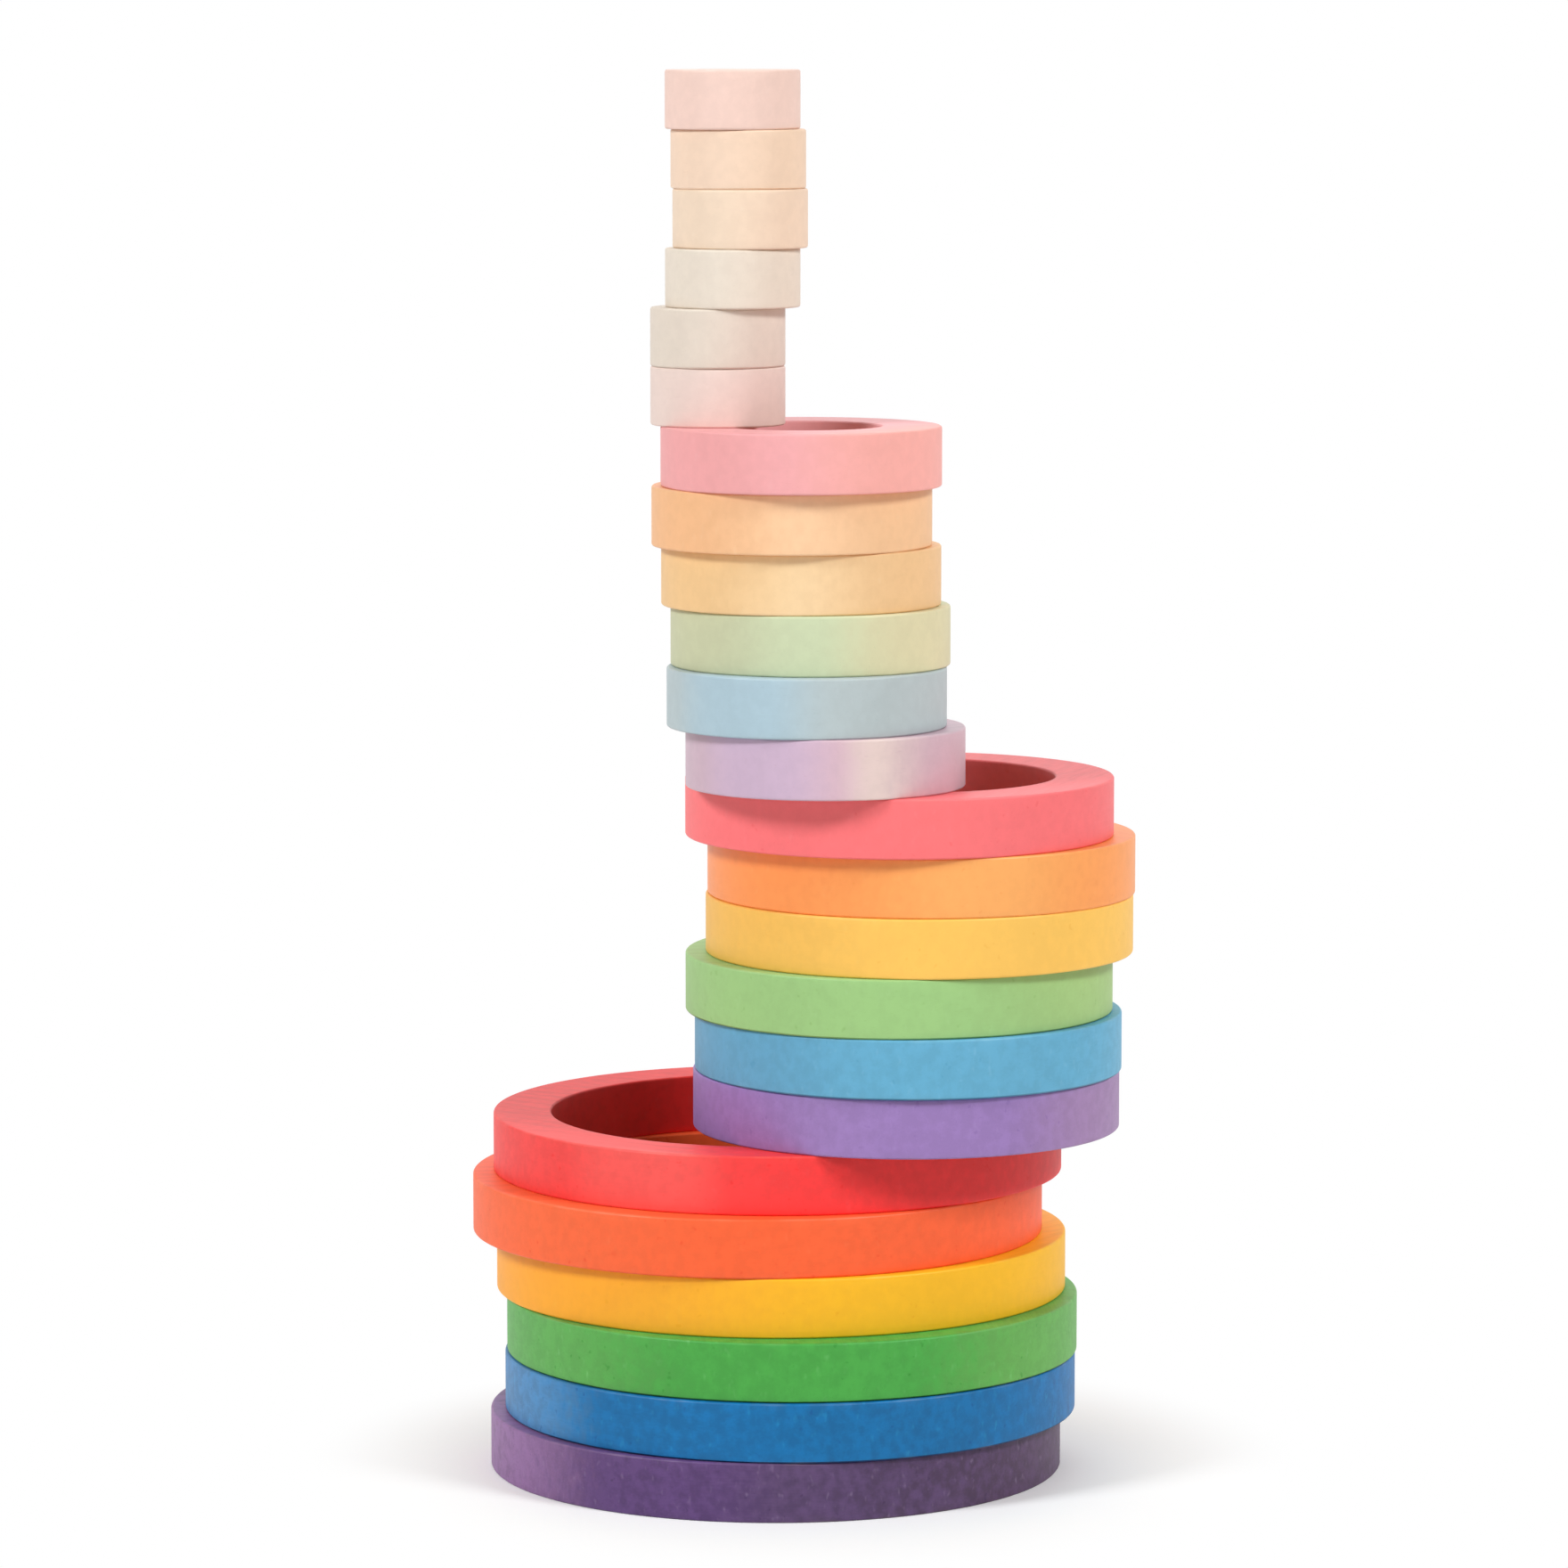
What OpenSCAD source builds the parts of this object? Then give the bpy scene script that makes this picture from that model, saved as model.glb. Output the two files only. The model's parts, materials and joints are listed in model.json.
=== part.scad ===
// Stacking toy of loose dyed wooden rings that stand on each other off centre, with no post and no base.
// Four sizes of ring, six colours to a size. Each size stands as a column on the rim of the next larger size.
// Lengths are in millimetres. The origin is the middle of the lowest ring's underside, +Z is up and
// the viewer stands at -Y.

/* [Diameters] */
// Outer diameter of the large rings
large_d = 157.5; // [140:0.5:175]
// Outer diameter of the medium rings
medium_d = 116.5; // [100:0.5:135]
// Outer diameter of the small rings
small_d = 75; // [60:0.5:90]
// Outer diameter of the tiny rings
tiny_d = 36; // [32:0.5:48]

/* [Section] */
// Wall of the large rings, from the hole to the outside
large_wall = 16; // [10:0.5:24]
// Wall of the medium rings, from the hole to the outside
medium_wall = 16; // [10:0.5:24]
// Wall of the small rings, from the hole to the outside
small_wall = 16; // [10:0.5:24]
// Wall of the tiny rings, from the hole to the outside
tiny_wall = 10; // [7:0.5:13]
// Height of the large rings
large_h = 16.1; // [10:0.1:24]
// Height of the medium rings
medium_h = 16.1; // [10:0.1:24]
// Height of the small rings
small_h = 16.1; // [10:0.1:24]
// Height of the tiny rings
tiny_h = 15.7; // [10:0.1:24]
// Radius that eases all four edges of a ring
edge_r = 0.6; // [0.3:0.1:2.5]

/* [Stacking] */
// Direction in which the medium column leans out, in degrees from +X towards +Y
medium_bearing = -36; // [-180:1:180]
// How far the medium column hangs over the rim of the large one
medium_overhang = 23; // [0:0.5:30]
// Direction in which the small column leans out
small_bearing = -129; // [-180:1:180]
// How far the small column hangs over the rim of the medium one
small_overhang = 11.5; // [0:0.5:20]
// Direction in which the tiny column leans out
tiny_bearing = 171; // [-180:1:180]
// How far the tiny column hangs over the rim of the small one
tiny_overhang = 3; // [0:0.5:10]
// Length of one step of the small shifts from ring to ring
shift_step = 0.5; // [0:0.05:0.75]

/* [Hidden] */
$fn = 128;

// One entry for each size, from the bottom column to the top one
SIZES = ["large", "medium", "small", "tiny"];
OUTER_D = [large_d, medium_d, small_d, tiny_d];
WALL = [large_wall, medium_wall, small_wall, tiny_wall];
HEIGHT = [large_h, medium_h, small_h, tiny_h];
BEARING = [0, medium_bearing, small_bearing, tiny_bearing];
OVERHANG = [0, medium_overhang, small_overhang, tiny_overhang];

// The dyes of each size, from its lowest ring to its highest: name, then colour
DYES = [
    [["purple", "#614a72"], ["blue", "#2673ae"], ["green", "#52ac50"],
     ["yellow", "#ffb92f"], ["orange", "#fe6b41"], ["red", "#fe4646"]],
    [["lilac", "#a082be"], ["sky_blue", "#66aacd"], ["leaf_green", "#a2ce86"],
     ["corn_yellow", "#fec966"], ["apricot", "#feaa66"], ["coral", "#fe7d7f"]],
    [["mauve", "#d8bac8"], ["ice_blue", "#b6cad0"], ["lime", "#d0d9b4"],
     ["butter", "#fad6a6"], ["peach", "#fcd0a5"], ["pink", "#fab2b2"]],
    [["rose", "#f0d4ca"], ["sand", "#e8d9cb"], ["cream", "#eee2d2"],
     ["straw", "#f7dcc3"], ["shell", "#f9dcc2"], ["blush", "#f7d5c8"]],
];

// How each ring is shifted from the ring below it, in steps along X and Y.
// The lowest ring of a column is placed by the column's bearing and overhang instead.
SHIFTS = [
    [[0, 0], [8, 0], [1, 2], [-6, 13], [-13, 0], [11, 10]],
    [[0, 0], [1, -3], [-5, 1], [11, 0], [1, 1], [-12, -5]],
    [[0, 0], [-10, 0], [2, 8], [-5, 1], [-5, -5], [5, -7]],
    [[0, 0], [0, -1], [8, -2], [4, 0], [-1, 1], [-3, -1]],
];

LAST_SIZE = len(SIZES) - 1;
LAST_LEVEL = len(DYES[0]) - 1;

function ring_name(size, level) = str(SIZES[size], "_ring_", DYES[size][level][0]);

// From the middle of one column's top ring to the middle of the next column's lowest ring
function column_step(size) =
    ((OUTER_D[size - 1] - OUTER_D[size]) / 2 + OVERHANG[size]) * [cos(BEARING[size]), sin(BEARING[size])];

// Middle of a ring in plan, worked out from the ring below it
function ring_centre(size, level) =
    level > 0 ? ring_centre(size, level - 1) + shift_step * SHIFTS[size][level]
    : size > 0 ? ring_centre(size - 1, LAST_LEVEL) + column_step(size)
    : [0, 0];

// Height of a ring's underside: every ring lies flat on the one below it
function ring_floor(size, level) =
    level > 0 ? ring_floor(size, level - 1) + HEIGHT[size]
    : size > 0 ? ring_floor(size - 1, LAST_LEVEL) + HEIGHT[size - 1]
    : 0;

// Section that is turned into a ring: a rectangle with its four corners eased
module eased_section(wall, height) {
    translate([edge_r, 0]) square([wall - 2 * edge_r, height]);
    translate([0, edge_r]) square([wall, height - 2 * edge_r]);
    for (x = [edge_r, wall - edge_r], y = [edge_r, height - edge_r])
        translate([x, y]) circle(edge_r);
}

// One ring standing on the origin
module turned_ring(outer_d, wall, height) {
    rotate_extrude() translate([outer_d / 2 - wall, 0]) eased_section(wall, height);
}

// One dyed ring at its place in the stack
module stacked_ring(size, level) {
    centre = ring_centre(size, level);
    color(DYES[size][level][1])
        translate([centre.x, centre.y, ring_floor(size, level)])
            turned_ring(OUTER_D[size], WALL[size], HEIGHT[size]);
}

for (size = [0 : LAST_SIZE], level = [0 : LAST_LEVEL])
    stacked_ring(size, level);
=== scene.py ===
# %% [markdown]
# # A free-standing stack of dyed wooden rings
#
# The toy is 24 loose rings of turned wood in four sizes, six colours to a size. Nothing holds them but
# their weight: every ring stands flat on the ring below it, a little off centre.
#
# The shapes and places come from the CAD model, which is loaded first and never moved. This lesson gives
# each ring a finer mesh, with edges that a hand has sanded, and a dyed wood whose grain runs through the
# solid. Lengths are in metres, +Z is up and the viewer stands at -Y.

# %% Load the frame
import json
import math

import bpy
import numpy as np
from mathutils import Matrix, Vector

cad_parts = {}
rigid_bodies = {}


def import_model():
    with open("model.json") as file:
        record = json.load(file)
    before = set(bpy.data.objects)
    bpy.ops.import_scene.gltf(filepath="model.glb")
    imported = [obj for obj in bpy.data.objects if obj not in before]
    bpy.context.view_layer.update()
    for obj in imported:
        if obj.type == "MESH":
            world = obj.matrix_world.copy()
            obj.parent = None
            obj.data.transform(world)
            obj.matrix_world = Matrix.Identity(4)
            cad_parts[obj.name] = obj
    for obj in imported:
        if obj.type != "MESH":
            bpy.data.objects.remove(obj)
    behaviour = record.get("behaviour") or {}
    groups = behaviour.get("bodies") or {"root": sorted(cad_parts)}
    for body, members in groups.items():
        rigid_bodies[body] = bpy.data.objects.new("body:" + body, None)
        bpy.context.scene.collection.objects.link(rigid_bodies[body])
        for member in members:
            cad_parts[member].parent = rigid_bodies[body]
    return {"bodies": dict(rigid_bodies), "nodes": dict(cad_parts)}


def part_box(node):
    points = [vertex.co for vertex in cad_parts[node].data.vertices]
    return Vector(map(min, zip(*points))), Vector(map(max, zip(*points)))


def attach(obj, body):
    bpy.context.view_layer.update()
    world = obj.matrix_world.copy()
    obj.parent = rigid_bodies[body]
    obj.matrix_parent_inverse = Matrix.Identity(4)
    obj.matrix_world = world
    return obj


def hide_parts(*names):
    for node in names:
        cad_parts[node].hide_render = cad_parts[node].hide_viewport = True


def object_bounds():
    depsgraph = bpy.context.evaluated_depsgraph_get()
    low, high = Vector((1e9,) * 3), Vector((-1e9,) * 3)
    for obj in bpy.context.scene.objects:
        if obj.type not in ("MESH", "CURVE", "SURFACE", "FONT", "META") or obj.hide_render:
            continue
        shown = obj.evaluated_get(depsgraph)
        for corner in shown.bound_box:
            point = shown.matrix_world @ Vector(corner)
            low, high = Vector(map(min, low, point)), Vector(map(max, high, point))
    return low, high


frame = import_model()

cad_low, cad_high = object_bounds()
MILLIMETRE = 0.001
ring_names = list(frame["bodies"])
print(len(ring_names), "rings, the stack is", [round(side, 4) for side in cad_high - cad_low], "m")

# %% [markdown]
# ## Sums on sockets
#
# Node trees soon turn into lists of links that nobody can read. A small class wraps one output socket, so
# that `1 - mask` or `grain * 0.5` adds the Math nodes by itself. Colours and vectors have methods of their
# own, because a Math node would turn a colour grey. Every other node comes from the one method `node`.
# Geometry trees know the same Math nodes as shaders, so the class serves both.

# %% Sums on sockets
class Wire:
    """One output socket of a node tree, which takes part in sums like a number."""

    def __init__(self, tree, socket=None):
        self.tree = tree
        self.socket = socket

    def node(self, kind, settings=None, inputs=None, output=0):
        """Adds a node: first its settings, then the values or wires of its sockets."""
        made = self.tree.nodes.new(kind)
        for name, value in (settings or {}).items():
            setattr(made, name, value)
        for key, value in (inputs or {}).items():
            if isinstance(value, Wire):
                self.tree.links.new(value.socket, made.inputs[key])
            else:
                made.inputs[key].default_value = value
        return Wire(self.tree, made.outputs[output] if made.outputs else None)

    def out(self, name):
        """Another output of the node that this wire comes from."""
        return Wire(self.tree, self.socket.node.outputs[name])

    def math(self, operation, first, second=0.0):
        """A Math node on one or two values."""
        return self.node("ShaderNodeMath", {"operation": operation}, {0: first, 1: second})

    def __add__(self, other):
        return self.math("ADD", self, other)

    def __radd__(self, other):
        return self.math("ADD", other, self)

    def __sub__(self, other):
        return self.math("SUBTRACT", self, other)

    def __rsub__(self, other):
        return self.math("SUBTRACT", other, self)

    def __mul__(self, other):
        return self.math("MULTIPLY", self, other)

    def __rmul__(self, other):
        return self.math("MULTIPLY", other, self)

    def __truediv__(self, other):
        return self.math("DIVIDE", self, other)

    def __mod__(self, other):
        return self.math("MODULO", self, other)

    def __abs__(self):
        return self.math("ABSOLUTE", self)

    def __lt__(self, other):
        """A mask that is 1 where this is less."""
        return self.math("LESS_THAN", self, other)

    def __or__(self, other):
        """The larger of two masks."""
        return self.math("MAXIMUM", self, other)

    def step(self, start, end):
        """A mask that rises smoothly from 0 at start to 1 at end."""
        smooth = {"interpolation_type": "SMOOTHSTEP"}
        return self.node("ShaderNodeMapRange", smooth, {"Value": self, "From Min": start, "From Max": end})

    def tint(self, colour, other):
        """Mixes two colours, with this wire as the share of the second."""
        return self.node("ShaderNodeMix", {"data_type": "RGBA"}, {0: self, 6: colour, 7: other}, output=2)

    def scaled(self, vector, factor):
        """A vector made longer or shorter by a number."""
        inputs = {"Vector": vector, "Scale": factor}
        return self.node("ShaderNodeVectorMath", {"operation": "SCALE"}, inputs)

    def joined(self, operation, vector, other, output="Vector"):
        """Vector Math on two vectors, such as their sum or their distance."""
        return self.node("ShaderNodeVectorMath", {"operation": operation}, {0: vector, 1: other}, output)


print("a wire knows:", [name for name, known in vars(Wire).items() if callable(known)])

# %% [markdown]
# ## Measuring the rings
#
# The CAD model already knows how large each ring is and where it stands, so nothing is typed in again.
# Its mesh is made of points that lie on the true surface: the greatest distance from the axis is the
# outer radius, the least is the hole's, and the top face ends where the eased edge begins.

# %% Measuring the rings
FLATNESS = 0.001 * MILLIMETRE


def measure_ring(name):
    """The middle of a ring's foot, and its sizes. Points within FLATNESS of the top lie on the top face."""
    low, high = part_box(name)
    centre = Vector(((low.x + high.x) / 2, (low.y + high.y) / 2, low.z))
    points = np.array([corner.co for corner in frame["nodes"][name].data.vertices])
    reach = np.hypot(points[:, 0] - centre.x, points[:, 1] - centre.y)
    on_top = points[:, 2] > high.z - FLATNESS
    return {
        "centre": centre,
        "outer": float(reach.max()),
        "hole": float(reach.min()),
        "height": high.z - low.z,
        "edge": float(reach.max() - reach[on_top].max()),
    }


rings = {name: measure_ring(name) for name in ring_names}
for name in ring_names[::6]:
    sizes = {key: round(rings[name][key] / MILLIMETRE, 2) for key in ("outer", "hole", "height", "edge")}
    print(name, sizes, "mm")

# %% [markdown]
# ## The section of a ring
#
# A lathe makes a ring by moving one section round an axis, and the node tree does the same. The section is
# a rectangle whose four corners are eased. Its long sides are then cut into short pieces, because smooth
# shading would otherwise make a flat face look swollen beside a rounded edge.

# %% The section of a ring
EDGE_STEPS = 8
SECTION_POINTS = 4 * (EDGE_STEPS + 1)
FLAT_STEP = 2 * MILLIMETRE


def section_curve(start, given):
    """The section of a ring: a rectangle with eased corners and its long sides cut up."""
    wall = given.out("Outer Radius") - given.out("Hole Radius")
    rectangle = start.node(
        "GeometryNodeCurvePrimitiveQuadrilateral", {"mode": "RECTANGLE"},
        {"Width": wall, "Height": given.out("Height")})
    eased = start.node(
        "GeometryNodeFilletCurve", {"mode": "POLY"},
        {"Curve": rectangle, "Count": EDGE_STEPS, "Radius": given.out("Edge Radius")})
    here = start.node("GeometryNodeInputPosition")
    following = (start.node("GeometryNodeInputIndex") + 1) % SECTION_POINTS
    there = start.node(
        "GeometryNodeFieldAtIndex", {"data_type": "FLOAT_VECTOR", "domain": "POINT"},
        {"Value": here, "Index": following})
    length = start.joined("DISTANCE", here, there, "Value")
    return start.node("GeometryNodeSubdivideCurve", {}, {"Curve": eased, "Cuts": length / FLAT_STEP})


print(SECTION_POINTS, "points on the corners, then one about every", FLAT_STEP / MILLIMETRE, "mm")

# %% [markdown]
# ## Turning a ring
#
# All rings follow one rule with different sizes, so one tree of Geometry Nodes makes them: it takes the
# sizes as inputs and sweeps the section round a circle.
#
# On the real rings the edges were broken by hand with sandpaper, so no edge is even. Noise takes a little
# wood off the eased corners, only ever inwards, and doesn't touch the flat faces on which the rings stand.
# The tree also stores how far a point is on an edge and how flat it lies, for the wood to use later.

# %% Turning a ring
SEGMENTS = 256
SANDING = 0.06 * MILLIMETRE
SANDING_SCALE = 60.0
SANDING_DETAIL = 3.0
SANDED = (0.3, 0.75)
EDGE_ATTRIBUTE = "edge_wear"
FLAT_ATTRIBUTE = "flat_face"
RING_INPUTS = {
    "Outer Radius": "NodeSocketFloat",
    "Hole Radius": "NodeSocketFloat",
    "Height": "NodeSocketFloat",
    "Edge Radius": "NodeSocketFloat",
    "Sanding": "NodeSocketFloat",
    "Foot": "NodeSocketVector",
    "Seed": "NodeSocketFloat",
    "Wood": "NodeSocketMaterial",
}


def stored(geometry, name, value):
    """The same geometry with a number stored on its points."""
    return geometry.node(
        "GeometryNodeStoreNamedAttribute", {"data_type": "FLOAT", "domain": "POINT"},
        {"Geometry": geometry, "Name": name, "Value": value})


def ring_tree():
    """A node tree that turns a ring from its sizes, and the identifiers of its inputs."""
    tree = bpy.data.node_groups.new("turned_ring", "GeometryNodeTree")
    tree.is_modifier = True
    identifiers = {}
    for name, kind in RING_INPUTS.items():
        socket = tree.interface.new_socket(name=name, in_out="INPUT", socket_type=kind)
        identifiers[name] = socket.identifier
    tree.interface.new_socket(name="Ring", in_out="OUTPUT", socket_type="NodeSocketGeometry")
    start = Wire(tree)
    given = start.node("NodeGroupInput")
    middle = (given.out("Outer Radius") + given.out("Hole Radius")) / 2
    path = start.node("GeometryNodeCurvePrimitiveCircle", {}, {"Resolution": SEGMENTS, "Radius": middle})
    section = section_curve(start, given)
    swept = start.node("GeometryNodeCurveToMesh", {}, {"Curve": path, "Profile Curve": section})
    normal = start.node("GeometryNodeInputNormal")
    upright = start.node("ShaderNodeSeparateXYZ", {}, {"Vector": normal}, "Z")
    # 0 on the flat faces and the walls, 1 halfway round an eased corner
    on_edge = 2 * abs(upright) * start.math("SQRT", 1 - upright * upright)
    uneven = start.node(
        "ShaderNodeTexNoise", {"noise_dimensions": "4D"},
        {"Vector": start.node("GeometryNodeInputPosition"), "W": given.out("Seed"),
         "Scale": SANDING_SCALE, "Detail": SANDING_DETAIL})
    taken_off = start.scaled(normal, -1 * given.out("Sanding") * on_edge * uneven.step(*SANDED))
    sanded = start.node("GeometryNodeSetPosition", {}, {"Geometry": swept, "Offset": taken_off})
    raised = start.node("ShaderNodeCombineXYZ", {}, {"Z": given.out("Height") / 2})
    place = start.joined("ADD", given.out("Foot"), raised)
    placed = start.node("GeometryNodeSetPosition", {}, {"Geometry": sanded, "Offset": place})
    marked = stored(stored(placed, EDGE_ATTRIBUTE, on_edge), FLAT_ATTRIBUTE, abs(upright))
    smooth = start.node("GeometryNodeSetShadeSmooth", {}, {"Geometry": marked})
    whole = start.node("GeometryNodeRealizeInstances", {}, {"Geometry": smooth})
    dyed = start.node("GeometryNodeSetMaterial", {}, {"Geometry": whole, "Material": given.out("Wood")})
    start.node("NodeGroupOutput", {}, {"Ring": dyed})
    return tree, identifiers


turning, turning_inputs = ring_tree()
print(turning.name, "has", len(turning.nodes), "nodes and takes", list(turning_inputs))

# %% [markdown]
# ## The dyes
#
# The wood was dyed with thin water stains, which are paler on each smaller size: strong colours at the
# bottom and hardly any at the top. A stain never takes evenly. Each ring has a main colour, and then
# patches about a bearing: a colour, the bearing at which it is strongest and how far it spreads. Most are
# where the wood drank more or less stain. The paler patches at the ends of the strong rings are partly
# stain and partly painted sheen of light grazing there, the narrow pale patch of the red ring is a painted
# highlight of the left lamp, and the cream band of the mauve ring is a painted sheen where the right lamp's
# highlight falls. A bearing of 0 is the viewer's right, -90 the front and 180 the left. A spread of 1 goes
# all the way round.

# %% The dyes
DYES = {
    # The pale end patches of the strong rings are partly stain and partly painted sheen where light grazes
    # the ends.
    "purple": ["#5e4670", ("#63457d", -116, 0.06), ("#9b72a8", 195, 0.12), ("#58405f", 0, 0.4)],
    "blue": ["#0371af", ("#0375b6", -114, 0.06), ("#4d90c7", 200, 0.07), ("#0a75b5", -20, 0.12)],
    "green": ["#4aaa47", ("#60af54", 205, 0.15), ("#69b255", -22, 0.15)],
    "yellow": ["#ffbf1e", ("#ffad2c", 195, 0.6)],
    "orange": ["#ff6635", ("#ff6e3e", 190, 0.4)],
    # The narrow pale patch at -118 on the red ring is a painted highlight of the left lamp.
    "red": ["#ff3a3a", ("#f84a48", 200, 0.5), ("#ff5d58", -118, 0.03)],
    "lilac": ["#9f80bf", ("#9c7abd", 200, 0.15), ("#a484b2", -20, 0.15)],
    "sky_blue": ["#66b0d2", ("#64a8cc", 190, 0.4)],
    "leaf_green": ["#9fcc83", ("#a5c980", 0, 0.4)],
    "corn_yellow": ["#ffc95f", ("#f8c15a", 190, 0.4)],
    "apricot": ["#ffb164", ("#ff9a52", 205, 0.4), ("#ffa258", -15, 0.2)],
    "coral": ["#ff787b", ("#fa7478", 0, 0.4)],
    # The cream patch at -61 on the mauve ring is a painted sheen where the right lamp's highlight falls.
    "mauve": ["#dab9c6", ("#cdb1c0", 205, 0.15), ("#d0b6cf", -118, 0.09), ("#e9d3cc", -61, 0.05),
              ("#d1b4c0", -20, 0.2)],
    "ice_blue": ["#b8c8cc", ("#b0cbd8", -118, 0.12), ("#b9c6c8", -40, 0.3)],
    "lime": ["#cedab4", ("#cbcfaa", 205, 0.25), ("#e1dab0", -35, 0.2)],
    "butter": ["#f9d9ab", ("#f4ca91", 200, 0.4), ("#f3c792", -25, 0.35)],
    "peach": ["#ffd4aa", ("#f7bf8d", 205, 0.4), ("#f6c697", -25, 0.35)],
    "pink": ["#f7b1b4", ("#f4aaab", 210, 0.3), ("#fdb2a9", -35, 0.3)],
    "rose": ["#eed9d0", ("#f0d8ce", -20, 0.5)],
    "sand": ["#e6dacc", ("#e8d6c8", -20, 0.5)],
    "cream": ["#ebe0d1", ("#ecdccb", -20, 0.5)],
    "straw": ["#f4ddc5", ("#f5d8bf", -20, 0.5)],
    "shell": ["#f6dac2", ("#f5d6bb", -20, 0.5)],
    "blush": ["#f6d6ca", ("#f4d3c6", -20, 0.5)],
}
RAW_WOOD = "#ecd9bd"


def linear(hex_colour):
    """A colour as a shader takes it, from the way a screen writes it."""
    shares = [int(hex_colour[at:at + 2], 16) / 255 for at in (1, 3, 5)]
    bright = [share / 12.92 if share <= 0.04045 else ((share + 0.055) / 1.055) ** 2.4 for share in shares]
    return (*bright, 1.0)


def deeper(colour, share):
    """The same dye where the wood drank more of it, or less where the share is below 0."""
    darker = 1 - share / 3
    return (*[min(1.0, darker * channel ** (1 + share)) for channel in colour[:3]], 1.0)


def size_of(name):
    """A ring is named for its size and its dye, as in large_ring_purple."""
    return name.split("_ring_")[0]


def dye_of(name):
    """The second half of a ring's name."""
    return name.split("_ring_")[1]


print(len(DYES), "dyes, missing:", sorted({dye_of(name) for name in ring_names} - set(DYES)))

# %% [markdown]
# ## Features of the wood
#
# Wood is a solid, not a skin: a ring cut from a plank shows long fibres where its wall runs along the
# grain and open pores where it cuts across it. So every pattern lives in space, as noise that is stretched
# to the size of a feature: its length along the grain, its width across it and its height.
#
# This is a close, pale hardwood that was sanded fine, so the stain shows more than the grain. There are
# the broad patches in which the stain took, stretches where an edge is worn, fibres, soft mottling, the
# upright streaks that sanding across the rim leaves, small pits, pale flecks and pores. A mask says from
# which to which level of its noise a feature comes out; without one it changes softly all over. The growth
# bands are circles about the pith of the tree, which lay beside the ring and below it.

# %% Features of the wood
FEATURES = {
    "patch": {"size_mm": (30, 30, 30), "seed": 0, "detail": 2.0},
    "wear": {"size_mm": (9, 9, 9), "seed": 23, "detail": 2.0, "mask": (0.42, 0.7)},
    "fibre": {"size_mm": (14, 0.5, 0.5), "seed": 7, "detail": 3.0},
    "mottle": {"size_mm": (3, 3, 3), "seed": 5, "detail": 3.0},
    "streak": {"size_mm": (2, 2, 5), "seed": 29, "detail": 2.0},
    "pit": {"size_mm": (2, 2, 2), "seed": 37, "detail": 1.0, "mask": (0.68, 0.78)},
    "fleck": {"size_mm": (1.8, 1.8, 3), "seed": 11, "detail": 1.0, "mask": (0.6, 0.95)},
    "pore": {"size_mm": (2.4, 0.4, 0.4), "seed": 17, "detail": 1.0, "mask": (0.64, 0.74)},
}
PITH = (0.0, 0.11, -0.07)
ACROSS_GRAIN = (0.0, 1.0, 1.0)
BAND_SPACING = 5 * MILLIMETRE
BAND_WANDER = 3.0


def wood_feature(local, kind, seed):
    """The noise of one feature, or its mask, in a space whose X runs along the grain."""
    feature = FEATURES[kind]
    size = [side * MILLIMETRE for side in feature["size_mm"]]
    noise = local.node(
        "ShaderNodeTexNoise", {"noise_dimensions": "4D"},
        {"Vector": local.joined("DIVIDE", local, size), "W": seed + feature["seed"],
         "Scale": 1.0, "Detail": feature["detail"]})
    return noise.step(*feature["mask"]) if "mask" in feature else noise


def growth_bands(local, patch):
    """The years of the tree as waves from 0 to 1, which wander with the patches."""
    from_pith = local.joined("MULTIPLY", local.joined("SUBTRACT", local, PITH), ACROSS_GRAIN)
    years = local.joined("LENGTH", from_pith, (0.0, 0.0, 0.0), "Value") / BAND_SPACING
    return 0.5 + 0.5 * local.math("SINE", (years + BAND_WANDER * patch) * math.tau)


print(len(FEATURES), "features, with seeds", sorted(feature["seed"] for feature in FEATURES.values()))

# %% [markdown]
# ## How the stain took, and painted sheen
#
# A patch is a mask that is strongest where the ring faces the patch's bearing. Most patches are stain, but
# some paint the sheen of grazing light or a lamp's highlight. On wood the border of a patch isn't a clean
# line, so the mottling, the broad patches and the streaks push it to and fro. Noise swings about one half,
# so half of the sum of the shares is taken off and the border stays put on the whole.

# %% How the stain took, and painted sheen
RAGGED_MIX = {"mottle": 1.5, "patch": 0.5, "streak": 1.0}


def mixed(features, shares):
    """Several features added up, each with its own share."""
    parts = [share * features[kind] for kind, share in shares.items()]
    return sum(parts[1:], parts[0])


def stain_and_painted_sheen(local, dye, ring, grain, features, raggedness):
    """The main colour and a ragged patch about each bearing: stain that took unevenly, and some painted
    sheen and highlights.
    """
    ragged = raggedness * (mixed(features, RAGGED_MIX) - sum(RAGGED_MIX.values()) / 2)
    colour = linear(dye[0])
    for patch_colour, bearing, spread in dye[1:]:
        turn = math.radians(bearing) - grain
        towards = (math.cos(turn), math.sin(turn), 0.0)
        facing = local.joined("DOT_PRODUCT", local, towards, "Value") / ring["outer"]
        share = (facing + 2 * spread * ragged).step(1 - 2 * spread, 1.0)
        # some patches are painted sheen or a painted lamp highlight, the rest are stain
        colour = share.tint(colour, linear(patch_colour))
    return colour


print(sum(len(dye) - 1 for dye in DYES.values()), "patches of stain on", len(DYES), "rings")

# %% [markdown]
# ## Marks on the surface
#
# Three marks depend on the place on the ring as well as on the wood. The edges are worn, in stretches.
# Along the lower edge the colour is darkened: painted shade of the crease where a ring sits on the one
# below. The flat faces show the figure of the plank, which is its growth bands and fibres. The turning has
# stored on the mesh what these masks need.

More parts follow.
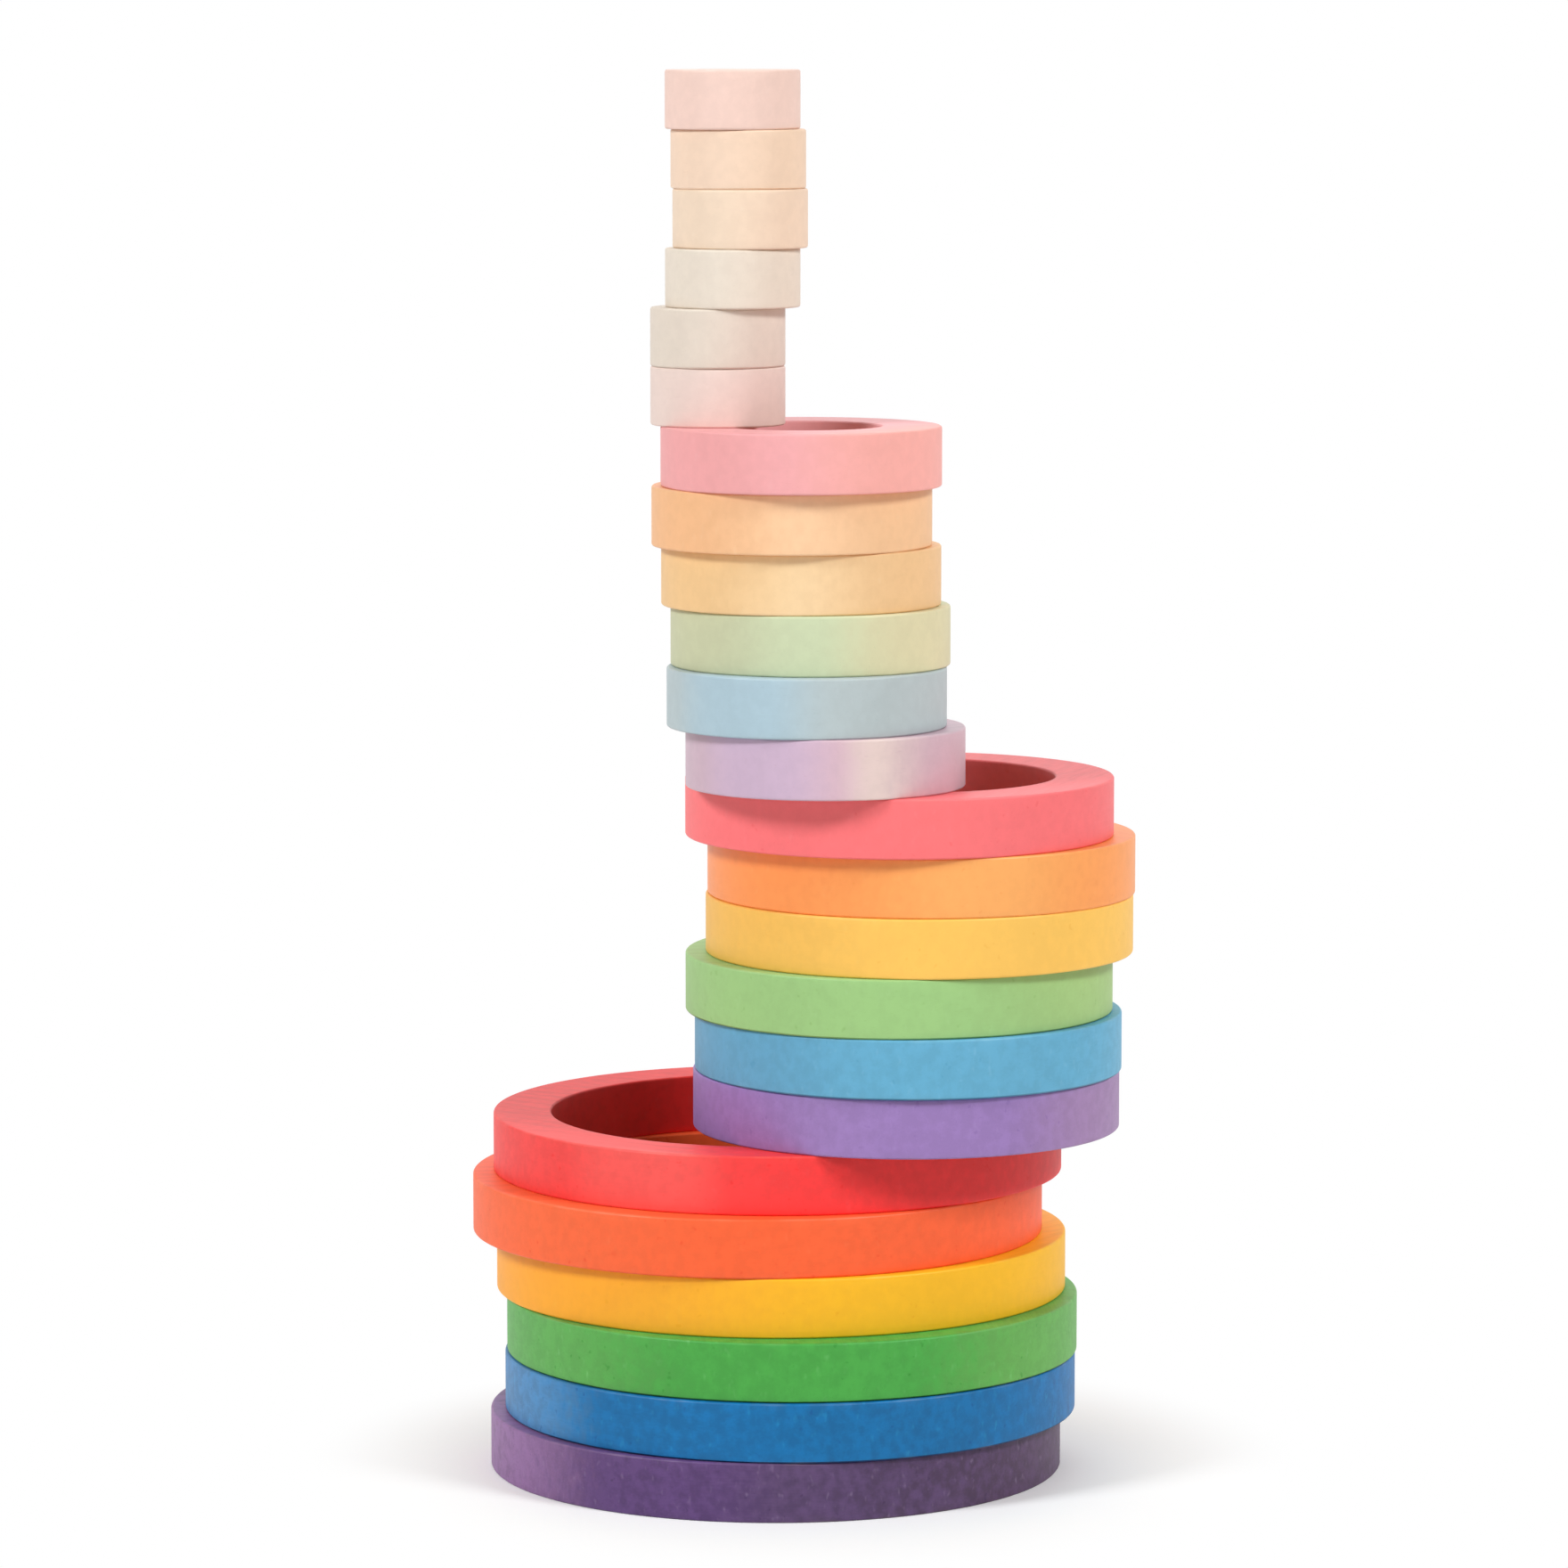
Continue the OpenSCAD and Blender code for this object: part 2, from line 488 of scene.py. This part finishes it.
# %% Marks on the surface
# Painted shade: the lower edge is darkened where a ring sits on the one below.
SEAM_SHADE_EDGE = (0.2, 0.8)
FLAT_FACE = (0.8, 1.0)
DARK_BAND = (0.3, 1.0)
DARK_FIBRE = (0.4, 0.65)
BAND_SHARE = 0.6
FIBRE_SHARE = 0.4


def attribute(start, name):
    """A number that the turning stored on the mesh."""
    return start.node("ShaderNodeAttribute", {"attribute_name": name}, output="Fac")


def surface_marks(local, ring, features):
    """Masks of the worn edges, of the painted shade along the lower edge and of the figure on the flat
    faces.
    """
    edge = attribute(local, EDGE_ATTRIBUTE)
    flat = attribute(local, FLAT_ATTRIBUTE).step(*FLAT_FACE)
    above_foot = local.node("ShaderNodeSeparateXYZ", {}, {"Vector": local}, "Z")
    bands = features["bands"].step(*DARK_BAND)
    fibres = features["fibre"].step(*DARK_FIBRE)
    return {
        "worn": edge * features["wear"],
        # painted shade of the crease under the ring, on the lower half of its eased edges
        "seam_shade": edge.step(*SEAM_SHADE_EDGE) * (above_foot < ring["height"] / 2),
        "figure": flat * (BAND_SHARE * bands + FIBRE_SHARE * fibres),
    }


print("the marks read", EDGE_ATTRIBUTE, "and", FLAT_ATTRIBUTE, "from the mesh")

# %% [markdown]
# ## Dyed wood
#
# The colour is built up in layers: first the stain, darker where the wood is soaked and along the figure,
# then pores and pits that hold more dye, flecks that took less, painted shade along the lower edge where
# one ring sits on another, and raw wood showing through where an edge is worn. The finish of a ring sets
# how strong the mottling, the pits, the flecks and the painted seam shade are.
#
# A Mapping node puts the origin of the pattern in the middle of the ring's foot and turns it to the grain
# of the plank. Only the base colour, the roughness and the bump change over the surface, because those can
# be baked when the model is exported. The sheen is one number.

# %% Dyed wood
SOAKED_MIX = {"mottle": 0.5, "patch": 0.2, "streak": 0.15, "fibre": 0.13, "bands": 0.02}
SOAKED_MASK = (0.4, 0.6)
FIGURE_DEPTH = 0.075
PORE_SHARE = 0.15
WORN_SHARE = 0.06
HOLE_TONE = 0.4
FLECK_TONE = -0.5
SEAM_SHADE_TONE = 1.5
RELIEF = 0.018 * MILLIMETRE
RELIEF_STRENGTH = 0.2
FIBRE_ROUGHNESS = 0.12
WORN_POLISH = 0.06
SHEEN_LEVEL = 0.34


def wood_colour(local, name, ring, grain, features, marks, finish):
    """The stain of a ring, and what the features and marks of its wood do to it."""
    dye = DYES[dye_of(name)]
    main = linear(dye[0])
    colour = stain_and_painted_sheen(local, dye, ring, grain, features, finish["raggedness"])
    soaked = mixed(features, SOAKED_MIX).step(*SOAKED_MASK)
    colour = soaked.tint(colour, local.scaled(colour, 1 - finish["mottling"]))
    colour = marks["figure"].tint(colour, local.scaled(colour, 1 - FIGURE_DEPTH))
    holes = features["pore"] * PORE_SHARE | features["pit"] * finish["pits"]
    colour = holes.tint(colour, deeper(main, HOLE_TONE))
    colour = (features["fleck"] * finish["flecks"]).tint(colour, deeper(main, FLECK_TONE))
    # painted shade of the crease where this ring sits on the one below: the lower edge is darkened
    colour = (marks["seam_shade"] * finish["seam_shade"]).tint(colour, deeper(main, SEAM_SHADE_TONE))
    return (marks["worn"] * WORN_SHARE).tint(colour, linear(RAW_WOOD))


def dyed_wood(name, ring, grain, seed, finish):
    """The material of one ring."""
    material = bpy.data.materials.new(dye_of(name) + "_dyed_wood")
    material.use_nodes = True
    material.node_tree.nodes.clear()
    start = Wire(material.node_tree)
    plank = {"Location": ring["centre"], "Rotation": (0.0, 0.0, grain)}
    coordinates = start.node("ShaderNodeTexCoord", output="Object")
    local = start.node("ShaderNodeMapping", {"vector_type": "TEXTURE"}, {"Vector": coordinates, **plank})
    features = {kind: wood_feature(local, kind, seed) for kind in FEATURES}
    features["bands"] = growth_bands(local, features["patch"])
    marks = surface_marks(local, ring, features)
    bump = start.node(
        "ShaderNodeBump", {},
        {"Strength": RELIEF_STRENGTH, "Distance": RELIEF, "Height": features["fibre"] - features["pore"]})
    fibre_swing = FIBRE_ROUGHNESS * (features["fibre"] - 0.5)
    wood = start.node(
        "ShaderNodeBsdfPrincipled", {},
        {"Base Color": wood_colour(local, name, ring, grain, features, marks, finish),
         "Roughness": finish["roughness"] + fibre_swing - WORN_POLISH * marks["worn"],
         "Normal": bump,
         "Specular IOR Level": SHEEN_LEVEL})
    start.node("ShaderNodeOutputMaterial", {}, {"Surface": wood})
    return material


purple_hole = deeper(linear(DYES["purple"][0]), HOLE_TONE)
print("a pore or pit in the purple ring:", [round(share, 3) for share in purple_hole])

# %% [markdown]
# ## A finish for each ring
#
# The pale rings took their stain evenly. The strong cool colours are mottled, with ragged patches and many
# flecks, and the blues and greens get painted shade along the lower edge, where they sit on the ring below.
# The larger rings have more pits, and two rings are burnished a little smoother. So there is one even
# finish, and what differs from it by size and by dye. Each plank is turned from the last by the golden
# angle, so that no two grains lie alike.

# %% A finish for each ring
EVEN_FINISH = {
    "mottling": 0.04,
    "raggedness": 0.15,
    "flecks": 0.1,
    "pits": 0.1,
    "seam_shade": 0.0,
    "roughness": 0.5,
}
FINISH_BY_SIZE = {
    "large": {"pits": 0.45},
    "medium": {"pits": 0.3},
}
FINISH_BY_DYE = {
    "purple": {"mottling": 0.3, "raggedness": 0.7, "flecks": 0.45},
    "blue": {"mottling": 0.24, "raggedness": 0.6, "flecks": 0.35, "seam_shade": 0.8},
    "green": {"mottling": 0.14, "raggedness": 0.4, "flecks": 0.25, "seam_shade": 0.8},
    "orange": {"mottling": 0.07},
    "red": {"mottling": 0.1},
    "lilac": {"mottling": 0.11},
    "sky_blue": {"mottling": 0.1, "flecks": 0.2, "seam_shade": 0.5},
    "leaf_green": {"mottling": 0.055, "seam_shade": 0.5},
    "apricot": {"roughness": 0.4},
    "mauve": {"roughness": 0.4},
}
GOLDEN_ANGLE = math.radians(137.5)
WOOD_SEED_STEP = 5.3


def finish_of(name):
    """The even finish, changed for the ring's size and then for its dye."""
    by_size = FINISH_BY_SIZE.get(size_of(name), {})
    by_dye = FINISH_BY_DYE.get(dye_of(name), {})
    return {**EVEN_FINISH, **by_size, **by_dye}


woods = {}
for index, name in enumerate(ring_names):
    grain = index * GOLDEN_ANGLE
    woods[name] = dyed_wood(name, rings[name], grain, index * WOOD_SEED_STEP, finish_of(name))
print(len(woods), "woods, the first with", len(woods[ring_names[0]].node_tree.nodes), "nodes")

# %% [markdown]
# ## Putting the rings in place
#
# Every ring is turned by the same tree with its own sizes, made a plain mesh and given to its CAD body, so
# that it moves with it. The CAD node is hidden: it stays behind for collisions. Two flat faces that share
# a plane can flicker and seem to cut into each other, so each top lies a hundredth of a millimetre low.

# %% Putting the rings in place
SEAT_GAP = 0.01 * MILLIMETRE
SANDING_SEED_STEP = 2.7


def turn_ring(name, ring, wood, seed):
    """One ring as a plain mesh, made by the turning tree."""
    blank = bpy.data.meshes.new(name + "_blank")
    piece = bpy.data.objects.new(name + "_turned", blank)
    bpy.context.scene.collection.objects.link(piece)
    shaping = piece.modifiers.new("turning", "NODES")
    shaping.node_group = turning
    values = {
        "Outer Radius": ring["outer"],
        "Hole Radius": ring["hole"],
        "Height": ring["height"] - SEAT_GAP,
        "Edge Radius": ring["edge"],
        "Sanding": SANDING,
        "Foot": ring["centre"],
        "Seed": seed,
        "Wood": wood,
    }
    for label, value in values.items():
        shaping[turning_inputs[label]] = value
    shaped = piece.evaluated_get(bpy.context.evaluated_depsgraph_get())
    piece.data = bpy.data.meshes.new_from_object(shaped)
    piece.modifiers.remove(shaping)
    bpy.data.meshes.remove(blank)
    return piece


faces = 0
for index, name in enumerate(ring_names):
    piece = turn_ring(name, rings[name], woods[name], index * SANDING_SEED_STEP)
    faces += len(piece.data.polygons)
    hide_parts(name)
    dye_of(name) + "_dyed_wood"
    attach(piece, name)
print(len(ring_names), "rings turned, with", faces, "faces in all")

# %% [markdown]
# ## Camera
#
# The photograph was taken from straight ahead and a little above the toy, from so far away that the near
# and the far rim of a ring look almost equally wide. A long lens gives that. Tilting it down is enough, so
# it needs no shift.

# %% Camera
CAMERA_PLACE = (0.0023, -1.8409, 0.4011)
CAMERA_TILT = math.radians(6.58)
CAMERA_LENS = 155.2
SENSOR_WIDTH = 36.0

camera_data = bpy.data.cameras.new("camera")
camera_data.lens = CAMERA_LENS
camera_data.sensor_width = SENSOR_WIDTH
camera = bpy.data.objects.new("camera", camera_data)
camera.location = CAMERA_PLACE
camera.rotation_euler = (math.pi / 2 - CAMERA_TILT, 0.0, 0.0)
bpy.context.scene.collection.objects.link(camera)
bpy.context.scene.camera = camera
print("camera at", CAMERA_PLACE, "m with a lens of", CAMERA_LENS, "mm")

# %% [markdown]
# ## Light
#
# Two soft lamps stand in front, one to each side, as for most pictures of a product. Between them they
# light the rings evenly, leave the holes dark, and each draws its own soft shadow under an overhang. A
# weak sheet behind serves the views from the back. The lamps are slightly cool and the room's own light is
# warm: together they are about neutral, and the shade that only the room lights turns warm. A lamp's level
# is what a white sheet that faces it would show: 1 is white.

# %% Light
MIDDLE = (cad_low + cad_high) / 2
LAMP_COLOUR = (0.945, 0.98, 1.0)


def softbox(name, bearing, elevation, distance, size, level):
    """A round soft lamp that looks at the middle of the toy. Bearing 0 is the viewer's side."""
    turn = math.radians(bearing)
    rise = math.radians(elevation)
    away = Vector((math.sin(turn) * math.cos(rise), -math.cos(turn) * math.cos(rise), math.sin(rise)))
    lamp = bpy.data.lights.new(name, "AREA")
    lamp.shape = "DISK"
    lamp.size = size
    lamp.energy = level * (math.pi * distance) ** 2
    lamp.color = LAMP_COLOUR
    holder = bpy.data.objects.new(name, lamp)
    holder.location = MIDDLE + distance * away
    holder.rotation_euler = (-away).to_track_quat("-Z", "Y").to_euler()
    bpy.context.scene.collection.objects.link(holder)
    return lamp


lamps = [
    softbox("left_lamp", bearing=-55, elevation=35, distance=4.0, size=1.1, level=0.615),
    softbox("right_lamp", bearing=55, elevation=37, distance=4.0, size=1.1, level=0.61),
    softbox("back_sheet", bearing=180, elevation=50, distance=4.0, size=3.0, level=0.27),
]
print({lamp.name: round(lamp.energy, 1) for lamp in lamps}, "W")

# %% [markdown]
# ## Floor and surroundings
#
# The toy stands on white in a white room. Seen by the camera and in reflections, the world is plain white.
# For light that falls on the wood it is dimmer and warm, so that the colours stay as they are written. The
# floor is a pale sheet that takes the shadow and turns into the white of the room farther out. For light
# that bounces from it to the wood it is a little darker, and it doesn't fade.

# %% Floor and surroundings
ROOM_LEVEL = 0.24
ROOM_SHADE = (1.0, 0.8, 0.68, 1.0)
FLOOR_SIZE = 4.0
FLOOR_SEEN = (0.97, 0.97, 0.97, 1.0)
FLOOR_BOUNCE = (0.8, 0.8, 0.8, 1.0)
FADE_START = 0.065
FADE_END = 0.14
WHITE = (1.0, 1.0, 1.0, 1.0)


def seen_directly(start):
    """1 for what the camera sees, straight or by reflection, and 0 for light on its way to the wood."""
    path = start.node("ShaderNodeLightPath", output="Is Camera Ray")
    return path | path.out("Is Glossy Ray") | path.out("Is Transmission Ray")


world = bpy.data.worlds.new("white_room")
world.use_nodes = True
world.node_tree.nodes.clear()
room = Wire(world.node_tree)
direct = seen_directly(room)
strength = ROOM_LEVEL + (1 - ROOM_LEVEL) * direct
air = room.node("ShaderNodeBackground", {}, {"Color": direct.tint(ROOM_SHADE, WHITE), "Strength": strength})
room.node("ShaderNodeOutputWorld", {}, {"Surface": air})
bpy.context.scene.world = world

pale = bpy.data.materials.new("pale_floor")
pale.use_nodes = True
pale.node_tree.nodes.clear()
ground = Wire(pale.node_tree)
seen = seen_directly(ground)
spot = ground.node("ShaderNodeTexCoord", output="Object")
from_toy = ground.joined("DISTANCE", spot, (MIDDLE.x, MIDDLE.y, 0.0), "Value")
sheet = ground.node("ShaderNodeBsdfDiffuse", {}, {"Color": seen.tint(FLOOR_BOUNCE, FLOOR_SEEN)})
blank_white = ground.node("ShaderNodeEmission", {}, {"Color": WHITE, "Strength": 1.0})
fade = from_toy.step(FADE_START, FADE_END) * seen
surface = ground.node("ShaderNodeMixShader", {}, {0: fade, 1: sheet, 2: blank_white})
ground.node("ShaderNodeOutputMaterial", {}, {"Surface": surface})

half = FLOOR_SIZE / 2
corners = [(-half, -half, 0), (half, -half, 0), (half, half, 0), (-half, half, 0)]
floor_mesh = bpy.data.meshes.new("floor")
floor_mesh.from_pydata(corners, [], [(0, 1, 2, 3)])
floor_mesh.materials.append(pale)
floor = bpy.data.objects.new("floor", floor_mesh)
bpy.context.scene.collection.objects.link(floor)
bpy.context.scene.view_settings.view_transform = "Standard"
print("white room at", ROOM_LEVEL, "and a floor of", FLOOR_SIZE, "m")

# %% [markdown]
# ## Sizes, and the end
#
# The finer rings have to fill the same space as the CAD model.
